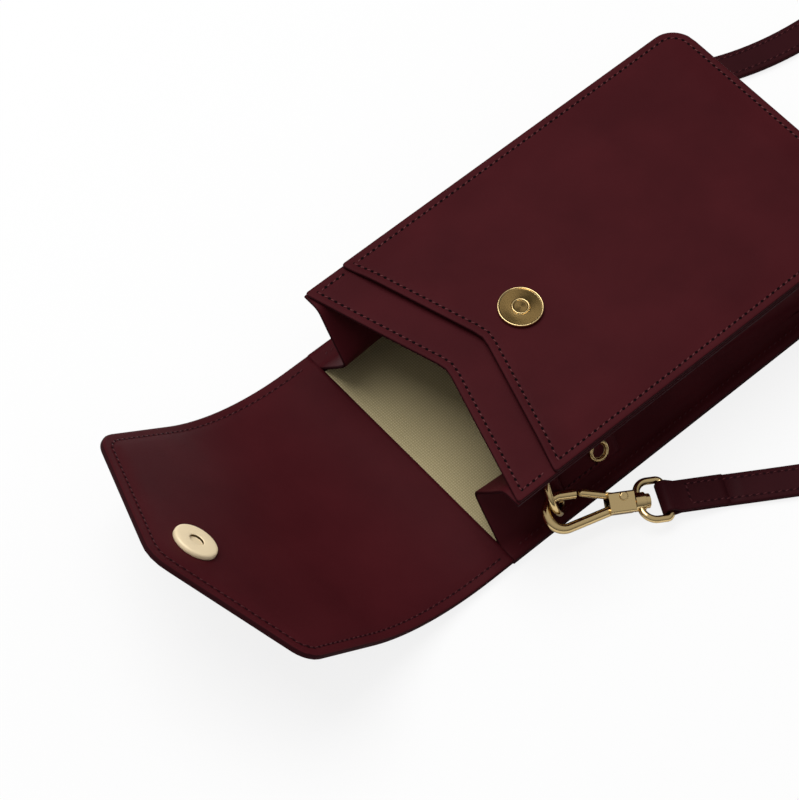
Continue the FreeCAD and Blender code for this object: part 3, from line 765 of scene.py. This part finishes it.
def gusset_point(spot, profile, i, offset):
    """A point of the strip's section, moved off its middle by an offset."""
    edge, inward, _, _ = spot
    before = profile[max(i - 1, 0)]
    after = profile[min(i + 1, len(profile) - 1)]
    run = Vector((after[0] - before[0], after[1] - before[1])).normalized()
    level = Vector((-run.y, run.x))
    e, z = profile[i]
    wave = GUSSET_WAVE * math.sin(edge.x / 8.0 + z / 5.0) * smooth_step(e, SEAM, SEAM + 5)
    e += level.x * (offset + wave)
    z += level.y * (offset + wave)
    return edge + inward * e + UP * z


def gusset_strip():
    """The strip, with paint on its two cut ends."""
    outer, inner = [], []
    per = len(gusset_profile(0.5))
    for spot in gusset_spots:
        profile = gusset_profile(spot[2])
        half = LEATHER / 2 * edge_round(spot[3])
        for i in range(per):
            outer.append(gusset_point(spot, profile, i, half))
            inner.append(gusset_point(spot, profile, i, -half))

    def painted(a, b):
        return a < per or b >= len(inner) - per
    return shell("gusset_strip", inner, outer, per, painted, leathers)


gusset_leaves = ["gusset_" + leaf + "_" + side for side, _ in SIDES for leaf in ("lower", "inner", "upper")]
finish_piece(gusset_strip(), "leather", *gusset_leaves, "gusset_bottom")


def flange_surface(s, y):
    return Vector((s, y, FLANGE_LOW + LEATHER / 2 - STITCH_SINK)), UP


stitches("stitches_back_inside", back_marks, flange_surface)

# Flap: flat at the mouth, then one easy bend, then straight to its tip
FLAP = 4.0
FLAP_RISE = 42.0
BEND_START = 10.0
FRONT_HINGE = (48.44481, 12.23189)
SHOULDER_U = 54.0
SOCKET_U = 59.0
TIP_U = 81.0
SHOULDER_ROUND = 11.0
TIP_ROUND = 13.0
FLAP_EDGE = 2.4
SKIVE_NEAR, SKIVE_FAR = 1.5, 9.0
rise = math.radians(FLAP_RISE)
meet = FRONT_HINGE[0] - (FRONT_HINGE[1] - FLAP) / math.tan(rise)
bend_reach = meet - BEND_START
bend_radius = bend_reach / math.tan(rise / 2)
bend_length = bend_radius * rise
BEND_END = BEND_START + bend_length
bend_top = (meet + bend_reach * math.cos(rise), FLAP + bend_reach * math.sin(rise))
front_u = (bend_top[0] - FRONT_HINGE[0]) / math.cos(rise)
u_shift = BEND_END - front_u
SHOULDER = SHOULDER_U + u_shift
TIP = TIP_U + u_shift


def flap_place(s, y):
    """The flap's inner face at a distance s from the mouth, and its normal."""
    if s <= BEND_START:
        out, level, tilt = s, FLAP, 0.0
    elif s < BEND_END:
        tilt = (s - BEND_START) / bend_radius
        out = BEND_START + bend_radius * math.sin(tilt)
        level = FLAP + bend_radius * (1 - math.cos(tilt))
    else:
        tilt = rise
        out = bend_top[0] + (s - BEND_END) * math.cos(rise)
        level = bend_top[1] + (s - BEND_END) * math.sin(rise)
    normal = Vector((math.sin(tilt), 0, math.cos(tilt)))
    return Vector((MOUTH - out, y, level)), normal


def flap_middle(s, y):
    inner, normal = flap_place(s, y)
    return inner - normal * (FLAP / 2), normal


def flap_end(y):
    """Where the flap ends: a blunt V with rounded tip and shoulders."""
    y = abs(y)
    slope = (TIP - SHOULDER) / HALF_WIDTH
    tilt = math.atan(slope)
    tip_reach = TIP_ROUND * math.sin(tilt)
    if y < tip_reach:
        top = TIP - TIP_ROUND * (math.hypot(1, slope) - 1)
        return top - TIP_ROUND + math.sqrt(TIP_ROUND ** 2 - y * y)
    centre_y = HALF_WIDTH - SHOULDER_ROUND
    centre_s = TIP - slope * centre_y - SHOULDER_ROUND * math.hypot(1, slope)
    if y > centre_y + SHOULDER_ROUND * math.sin(tilt):
        return centre_s + math.sqrt(max(0.0, SHOULDER_ROUND ** 2 - (y - centre_y) ** 2))
    return TIP - slope * y


def flap_thickness(s, y, d):
    """Thin at the skived edges, full over the stiffener."""
    return FLAP_EDGE + (FLAP - FLAP_EDGE) * smooth_step(d, SKIVE_NEAR, SKIVE_FAR)


def flap_sewn(s, y):
    """The flap's thickness at a stitch."""
    return flap_thickness(s, y, min(HALF_WIDTH - abs(y), flap_end(y) - s))


# Distances from the mouth where one stretch of the sheet ends and the next starts. The last runs to the tip
SPLITS = [0.0, 13.5, 38.0, None]
ROOT_CLEAR = 20.0
flap_outline = outline_of(wide_columns, lambda y: (0.0, flap_end(y)))
flap_line = inset_path(flap_outline, STITCH_INSET)
flap_dense = dense(flap_outline, OUTLINE_STEP)


def flap_piece(name, low, high, rows):
    """One stretch of the flap's sheet. Only its outer edges have a rim."""
    def span(y):
        return low, flap_end(y) if high is None else high

    def free(s, y, d):
        tip_reach = edge_distance([(s, y)], flap_dense)[0] if s > ROOT_CLEAR else FAR
        return min(HALF_WIDTH - abs(y), tip_reach)
    last = high is None
    return panel(name, wide_columns, span, rows, flap_middle, flap_thickness, leathers, free, (False, last),
                 (low == 0, last))


# Each stretch: its number of rows, the bodies it bends between, and where it starts and ends to bend
bend_pieces = (("flap_root", 10, ("pouch", "flap_root"), (0.0, 9.0)),
               ("flap_fold", 14, ("flap_root", "flap_fold"), (18.0, 36.0)),
               ("flap_front", 34, ("flap_fold", "flap_front"), (41.0, 60.0)))
for (name, rows, bodies, turn), low, high in zip(bend_pieces, SPLITS, SPLITS[1:]):
    top = TIP if high is None else high
    sheet = flap_piece(name + "_leather", low, high, rows)
    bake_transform(sheet)
    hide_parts(*[name + layer for layer in ("_inner", "_outer", "_board")])
    row = spaced(flap_line, lambda s, y: max(low, SEAM_START) <= s < top)
    for side, sign in (("inside", 1), ("outside", -1)):
        face = sewn_face(flap_middle, sign, flap_sewn)
        seam_row = stitches("stitches_" + name + "_leather_" + side, row, face, body=None)
        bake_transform(seam_row)

# Bands: the ring tabs, the strap's folded ends and the strap
BAND_ROUND = 0.6
BAND_EDGE = 2.2
ALONG = (1.0, 0.0)
ACROSS = (0.0, 1.0)


def two_rows(start, side, count):
    """Two straight rows of stitches along a band, one at each side of its middle."""
    return [((start + STITCH_PITCH * k, y), ALONG) for y in (-side, side) for k in range(count)]


def flat_face(origin, along, across, out, height):
    """A flat face at a height over an origin, for its stitches."""
    return lambda s, y: (origin + along * s + across * y + out * height, out)


def band(name, points, wides, width, thick, materials):
    """A flat strip with rounded, painted edges along points, its width along the wides."""
    half, low = width / 2, thick / 2
    soft = min(low, BAND_ROUND)
    right = [(half, low * 0.45), (half - soft * 0.4, low * 0.85), (half - soft, low),
             (half - soft - BAND_EDGE, low)]
    upper = right + [(0.0, low)] + [(-a, b) for a, b in reversed(right)]
    under = [(-a, -b) for a, b in upper]
    section = under[-1:] + upper + under[:-1]
    painted = {0, 1, 8, 9, 10, 17}
    per = len(section)
    rows = []
    for i, (point, wide) in enumerate(zip(points, wides)):
        ahead = points[min(i + 1, len(points) - 1)] - points[max(i - 1, 0)]
        wide = (wide - ahead * (wide.dot(ahead) / ahead.length_squared)).normalized()
        level = ahead.cross(wide).normalized()
        rows += [point + wide * a + level * b for a, b in section]
    last = (len(points) - 1) * per
    faces = tube(len(points), per) + [tuple(reversed(range(per))), tuple(range(last, last + per))]
    indices = [int(k in painted) for k in range(per)] * (len(points) - 1) + [1, 1]
    return make_object(name, rows, faces, materials, indices)


# Ring tabs: a strip folded round the ring's bar and sewn down on the gusset
TAB_WIDTH = 11.0
TAB_LEATHER = 1.2
TAB_LENGTH = 29.0
TAB_ROOM = 0.9
TAB_FLOOR = LEATHER / 2 + TAB_ROOM
RING_BAR = 2.4
BAR_PLAY = 0.3
RING_BORE = RING_BAR / 2 + BAR_PLAY
TAB_PLACE = MOUTH + 26.0
TAB_HEIGHT = 9.5
TAB_TOP = TAB_FLOOR + TAB_LEATHER * 2
TAB_STITCHES = 7
TAB_STITCH_START = 4.0
TAB_STITCH_SIDE = 4.0
RUN_COUNT = 8
tab_slope = math.atan2(FOLD_HEIGHT - FLANGE_LOW, MOUTH_FOLD)


def tab_frame(sign):
    """The middle of a tab's fold on the gusset, the way up the gusset and the way out of it."""
    climb = Vector((0, math.cos(tab_slope) * sign, math.sin(tab_slope)))
    outward = Vector((0, -math.sin(tab_slope) * sign, math.cos(tab_slope)))
    origin = Vector((TAB_PLACE, (-HALF_WIDTH + SEAM) * sign, FLANGE_LOW)) + climb * TAB_HEIGHT
    return origin, climb, outward


def straight(start, end, level):
    """Points of a straight run at one level."""
    return [(start + (end - start) * k / RUN_COUNT, level) for k in range(RUN_COUNT + 1)]


def tab_path():
    """The strip's middle as (along, out from the gusset): down the tail, round the bar and back."""
    turn = RING_BORE + TAB_LEATHER / 2
    middle = TAB_FLOOR + RING_BORE + TAB_LEATHER
    low = TAB_FLOOR + TAB_LEATHER / 2
    high = TAB_FLOOR + TAB_LEATHER * 1.5 + 0.02
    angles = [math.radians(-4 - 19.0 * k) for k in range(17)]
    around = [(turn * math.sin(a) * 0.9, middle - turn * math.cos(a)) for a in angles]
    return straight(TAB_LENGTH, 3.5, low) + around + straight(4.2, TAB_LENGTH, high)


for side, sign in SIDES:
    origin, climb, outward = tab_frame(sign)
    spots = [origin + LENGTHWAYS * a + outward * b for a, b in tab_path()]
    tab = band("ring_tab_leather_" + side, spots, [climb] * len(spots), TAB_WIDTH, TAB_LEATHER, leathers)
    finish_piece(tab, "leather", "ring_tab_" + side)
    sewn = two_rows(TAB_STITCH_START, TAB_STITCH_SIDE, TAB_STITCHES)
    stitches("stitches_ring_tab_" + side, sewn, flat_face(origin, LENGTHWAYS, climb, outward, TAB_TOP))

# Strap
STRAP = 12.0
STRAP_THICK = 2.4
EYE_BAR = 2.6
FOLD_TURN = EYE_BAR / 2 + BAR_PLAY + STRAP_THICK / 4
# The bar of each swivel eye, and the tail of the strap's end that is folded round it
tail_right = Vector((-13.82218, -81.51012, 1.4))
strap_bars = (("right", Vector((-33.16769, -71.65310, 4.94829)), tail_right),
              ("left", Vector((-26.32807, 58.84670, 8.65517)), Vector((-5.71362, 61.37784, 1.4))))
STRAP_LIFT = 0.2
FOLD_LENGTH = 22.0
FOLD_START = 4.0
FOLD_STITCHES = 5
FOLD_SEAM = 8.0
STRAP_STITCH_SIDE = 3.9
STRAP_STITCH_START = 2.0
# The strap's ends run on inside its two folded and sewn ends
STRAP_TUCK = 2.0
# Plan of the strap between its sewn ends, from the right side round to the left side
strap_route = [(21.0, -104.0), (57.0, -124.0), (98.0, -131.0), (136.0, -119.0), (160.0, -90.0),
               (167.0, -50.0), (168.0, -10.0), (191.0, 13.0), (224.0, 13.0), (247.0, -10.0),
               (249.0, -46.0), (247.0, -85.0), (270.0, -109.0), (304.0, -109.0), (327.0, -85.0),
               (329.0, -42.0), (322.0, 2.0), (298.0, 38.0), (258.0, 55.0), (214.0, 46.0),
               (163.0, 38.5), (116.0, 45.5), (80.0, 67.0), (36.0, 67.8)]
# Distances from the strap's ends where it lies flat and where it stands on its edge
FLAT_RIGHT, EDGE_RIGHT = 45.0, 125.0
FLAT_LEFT, EDGE_LEFT = 255.0, 330.0


def spline_points(name, controls, resolution):
    """Points read along a smooth spline over control points."""
    curve = bpy.data.curves.new(name, "CURVE")
    curve.dimensions = "3D"
    curve.resolution_u = resolution
    spline = curve.splines.new("NURBS")
    spline.points.add(len(controls) - 1)
    for point, spot in zip(spline.points, controls):
        point.co = (*spot, 1.0)
    spline.order_u = 3
    spline.use_endpoint_u = True
    holder = linked(name, curve)
    bpy.context.view_layer.update()
    shape = bpy.data.meshes.new_from_object(holder)
    read = [v.co.copy() for v in shape.vertices]
    bpy.data.objects.remove(holder)
    bpy.data.curves.remove(curve)
    bpy.data.meshes.remove(shape)
    return read


SPLINE_STEPS = 10
right_end, left_end = [tail + (bar - tail).normalized() * STRAP_TUCK for _, bar, tail in strap_bars]
strap_controls = [right_end] + [Vector((*p, tail_right.z)) for p in strap_route] + [left_end]
strap_line = spline_points("strap_line", strap_controls, SPLINE_STEPS)
strap_run = [0.0]
for a, b in zip(strap_line, strap_line[1:]):
    strap_run.append(strap_run[-1] + (b - a).length)
strap_wides = []
for i, at in enumerate(strap_run):
    ahead = strap_line[min(i + 1, len(strap_line) - 1)] - strap_line[max(i - 1, 0)]
    twist = smooth_step(at, FLAT_RIGHT, EDGE_RIGHT) * smooth_step(strap_run[-1] - at, FLAT_LEFT, EDGE_LEFT)
    twist *= math.pi / 2
    across = Vector((-ahead.y, ahead.x, 0)).normalized()
    strap_wides.append(across * math.cos(twist) + UP * math.sin(twist))
    strap_line[i].z = STRAP / 2 * math.sin(twist) + STRAP_THICK / 2 * math.cos(twist) + STRAP_LIFT
strap_leathers = [calf_strap, edge_paint]
strap = band("strap_leather", strap_line, strap_wides, STRAP, STRAP_THICK, strap_leathers)
finish_piece(strap, "strap_leather", "strap")


def strap_surface(sign):
    """A face of the strap: s runs along it and y across."""
    def surface(s, y):
        i = min(max(np.searchsorted(strap_run, s) - 1, 0), len(strap_run) - 2)
        t = (s - strap_run[i]) / (strap_run[i + 1] - strap_run[i])
        point = strap_line[i].lerp(strap_line[i + 1], t)
        wide = strap_wides[i].lerp(strap_wides[i + 1], t)
        ahead = (strap_line[i + 1] - strap_line[i]).normalized()
        level = ahead.cross(wide).normalized() * sign
        return point + wide * y + level * (STRAP_THICK / 2 - STRAP_STITCH_SINK), level
    return surface


strap_stitches = int((strap_run[-1] - 2 * STRAP_STITCH_START) / STITCH_PITCH)
strap_rows = two_rows(STRAP_STITCH_START, STRAP_STITCH_SIDE, strap_stitches)
strap_pieces = []
for face, sign in (("upper", 1), ("lower", -1)):
    row = stitches("stitches_strap_" + face, strap_rows, strap_surface(sign))
    strap_pieces.append(row)


def fold_path():
    """The strap's end as (along, up): back under the bar, round it and forth again."""
    layer = STRAP_THICK / 4
    angles = [math.radians(a) for a in range(-60, -301, -15)]
    around = [(FOLD_TURN * math.cos(a), FOLD_TURN * math.sin(a)) for a in angles]
    under = straight(FOLD_LENGTH, FOLD_START, -layer)
    return under + around + straight(FOLD_START, FOLD_LENGTH, layer + 0.01)


for side, bar, tail in strap_bars:
    way = (tail - bar).normalized()
    across = Vector((-way.y, way.x, 0)).normalized()
    level = way.cross(across)
    spots = [bar + way * a + level * b for a, b in fold_path()]
    fold = band("strap_end_leather_" + side, spots, [across] * len(spots), STRAP, STRAP_THICK / 2,
                strap_leathers)
    finish_piece(fold, "strap_leather", "strap_fold_" + side)
    sewn = two_rows(FOLD_SEAM + 1.0, STRAP_STITCH_SIDE, FOLD_STITCHES)
    sewn += [((FOLD_SEAM, y), ACROSS) for y in (-STITCH_PITCH, 0.0, STITCH_PITCH)]
    face = flat_face(bar, way, across, level, STRAP_THICK / 2 - STRAP_STITCH_SINK)
    row = stitches("stitches_strap_end_" + side, sewn, face)
    strap_pieces += [fold, row]

# Turned metal: the two halves of the snap, the tab rivets and the gate pins
TURNED_SIDES = 72
FACE = 0.01


def turned(name, profile, centre, axis, materials, kinds):
    """A piece turned on a lathe from a profile of (radius, height) points about an axis."""
    side = axis.orthogonal().normalized()
    cross = axis.cross(side)
    points = []
    for radius, height in profile:
        points += ellipse(centre + axis * height, side, cross, radius, radius, TURNED_SIDES)
    indices = [kind for kind in kinds for _ in range(TURNED_SIDES)]
    return make_object(name, points, tube(len(profile), TURNED_SIDES), materials, indices)


stud_profile = [(FACE, 0.0), (7.7, 0.0), (8.0, 0.2), (8.0, 1.2), (7.93, 1.42), (7.75, 1.52), (7.55, 1.5),
                (7.42, 1.36), (7.38, 1.16), (7.3, 1.1), (7.1, 1.1), (5.6, 1.1), (3.6, 1.1), (3.4, 1.12),
                (3.25, 1.35), (3.15, 1.6), (3.0, 1.76), (2.85, 1.8), (2.65, 1.7), (2.5, 1.4), (2.42, 1.24),
                (2.3, 1.2), (2.1, 1.2), (FACE, 1.2)]
# Kind 1 is the dark olive tone on the flat face and the post's middle: painted dark reflection
stud_kinds = [0] * 9 + [1] * 4 + [0] * 7 + [1] * 3
stud_spot = Vector((MOUTH + SNAP_PLACE, 0, DEPTH))
stud = turned("snap_stud_turned", stud_profile, stud_spot, UP, [gold, brushed_gold_shade], stud_kinds)
finish_piece(stud, "gold_metal", "snap_stud", "stud_post")
socket_profile = [(FACE, 0.0), (7.8, 0.0), (8.0, 0.15), (8.0, 0.75), (7.95, 1.3), (7.8, 1.65), (7.5, 1.88),
                  (7.0, 1.98), (6.0, 2.0), (4.4, 2.0), (3.1, 2.0), (2.8, 1.96), (2.6, 1.75), (2.6, 1.0),
                  (2.5, 0.9), (2.3, 0.9), (FACE, 0.9)]
# Kind 1 darkens the wall of the hole: painted shade
socket_kinds = [0] * 12 + [1] + [0] * 3
snap_spot, snap_way = flap_place(SOCKET_U + u_shift, 0)
socket = turned("snap_socket_turned", socket_profile, snap_spot, snap_way, [satin_gold_painted_light, brushed_gold_shade],
                socket_kinds)
finish_piece(socket, "gold_metal", "snap_socket", "socket_base", body="flap_front")
RIVET_REACH = 21.0
RIVET_FOOT = 0.8
RIVET_BACK = -TAB_FLOOR - RIVET_FOOT
rivet_foot = [(FACE, 0.0), (3.9, 0.0), (4.2, 0.3), (4.2, RIVET_FOOT), (1.2, RIVET_FOOT)]
rivet_head = [(1.2, 0.0), (4.1, 0.0), (4.2, 0.25), (4.05, 0.8), (3.7, 1.2), (3.3, 1.35), (2.95, 1.2),
              (2.7, 0.8), (2.6, 0.3), (2.5, 0.15), (FACE, 0.15)]
rivet_profile = [(radius, RIVET_BACK + height) for radius, height in rivet_foot]
rivet_profile += [(radius, TAB_TOP + height) for radius, height in rivet_head]
rivet_kinds = [0] * 14 + [1]
for side, sign in SIDES:
    origin, _, outward = tab_frame(sign)
    spot = origin + LENGTHWAYS * RIVET_REACH
    rivet = turned("ring_rivet_turned_" + side, rivet_profile, spot, outward, [gold, calf], rivet_kinds)
    finish_piece(rivet, "gold_metal", "ring_rivet_" + side)

# Gate pins, whose two ends are peened over the hook's cheeks
PIN_CHEEK = 3.0
pin_shape = [(0.8, 0.0), (1.5, 0.0), (1.6, 0.12), (1.48, 0.36), (1.1, 0.52), (0.5, 0.45), (FACE, 0.4)]
pin_head = [(radius, PIN_CHEEK + height) for radius, height in pin_shape]
pin_profile = [(radius, -height) for radius, height in reversed(pin_head)] + pin_head
gate_pivots = {"right": ((-46.1456, -62.5431, 8.6294), (-0.026612, -0.406871, 0.913098)),
               "left": ((-41.8748, 59.2622, 13.4611), (0.28053, -0.243263, 0.928507))}
pin_kinds = [0] * (len(pin_profile) - 1)
for side, (spot, axis) in gate_pivots.items():
    pin = turned("gate_pin_turned_" + side, pin_profile, Vector(spot), Vector(axis), [gold], pin_kinds)
    strap_pieces.append(finish_piece(pin, "gold_metal", "gate_pin_" + side, body="hook_" + side))

# Rings, hooks and hidden fittings keep their solids and take plated finishes
paired = ("hook_body_", "hook_gate_", "swivel_eye_")
gold_names = [name + side for name in ("d_ring_",) + paired for side, _ in SIDES]
steel_names = ["gate_spring_right", "gate_spring_left", "stud_washer", "socket_washer", "snap_magnet"]
for finish, names in ((gold, gold_names), (steel, steel_names)):
    for name in names:
        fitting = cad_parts[name]
        fitting.data.materials.clear()
        fitting.data.materials.append(finish)

strap_pieces += [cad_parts[name + side] for side, _ in SIDES for name in paired + ("gate_spring_",)]

# Floor, light and camera
FLOOR_HALF = 4000.0
FLOOR_LEVEL = -0.3
floor_corners = [(a * FLOOR_HALF, b * FLOOR_HALF, FLOOR_LEVEL)
                 for a, b in ((-1, -1), (1, -1), (1, 1), (-1, 1))]
floor = make_object("studio_floor", floor_corners, [(0, 1, 2, 3)], [paper])
floor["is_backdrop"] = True

scene = bpy.context.scene
scene.view_settings.view_transform = "Standard"
world = bpy.data.worlds.new("studio_light")
world.use_nodes = True
scene.world = world
tree = world.node_tree
tree.nodes.clear()
direction = add(tree, "TexCoord").outputs["Generated"]
height = add(tree, "SeparateXYZ", {"Vector": direction})
ramp = add(tree, "ValToRGB", {"Fac": height.outputs["Z"]})
# Dim near the horizon and full above, so that upright sides fall dark
HORIZON = (0.12, 0.12, 0.12, 1.0)
for stop, position, shade in zip(ramp.color_ramp.elements, (0.0, 0.8), (HORIZON, WHITE)):
    stop.position = position
    stop.color = shade
path = add(tree, "LightPath")
lit = add(tree, "Background", {"Color": ramp.outputs["Color"], "Strength": 0.48})
seen = add(tree, "Background", {"Color": WHITE, "Strength": 1.0})
choose = add(tree, "MixShader", {0: path.outputs["Is Camera Ray"], 1: lit.outputs["Background"],
                                 2: seen.outputs["Background"]})
add(tree, "OutputWorld", {"Surface": choose.outputs["Shader"]})


def placed(name, data, spot, way):
    """A lamp or camera at a spot, turned to look along a direction."""
    made = linked(name, data)
    made.location = spot
    made.rotation_euler = way.to_track_quat("-Z", "Y").to_euler()
    return made


LAMP_SPOT = Vector((-0.1, 0.55, 1.5))
lamp_data = bpy.data.lights.new("top_soft_box", "AREA")
lamp_data.shape = "SQUARE"
lamp_data.size = 1.2
lamp_data.energy = 18.0
placed("top_soft_box", lamp_data, LAMP_SPOT, -LAMP_SPOT)

# The camera's focal length in pixels, for a picture of this width, and where it stands and looks
FOCAL_PIXELS = 3014.0
PICTURE_WIDTH = 800.0
SENSOR = 36.0
CAMERA_SPOT = Vector((-433.9, -390.8, 910.4))
CAMERA_WAY = Vector((0.3423, 0.3915, -0.8665))
camera_data = bpy.data.cameras.new("camera")
camera_data.sensor_width = SENSOR
camera_data.lens = FOCAL_PIXELS / PICTURE_WIDTH * SENSOR
camera_data.clip_start = 0.01
camera_data.clip_end = 50.0
scene.camera = placed("camera", camera_data, CAMERA_SPOT * MM, CAMERA_WAY)

low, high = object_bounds()
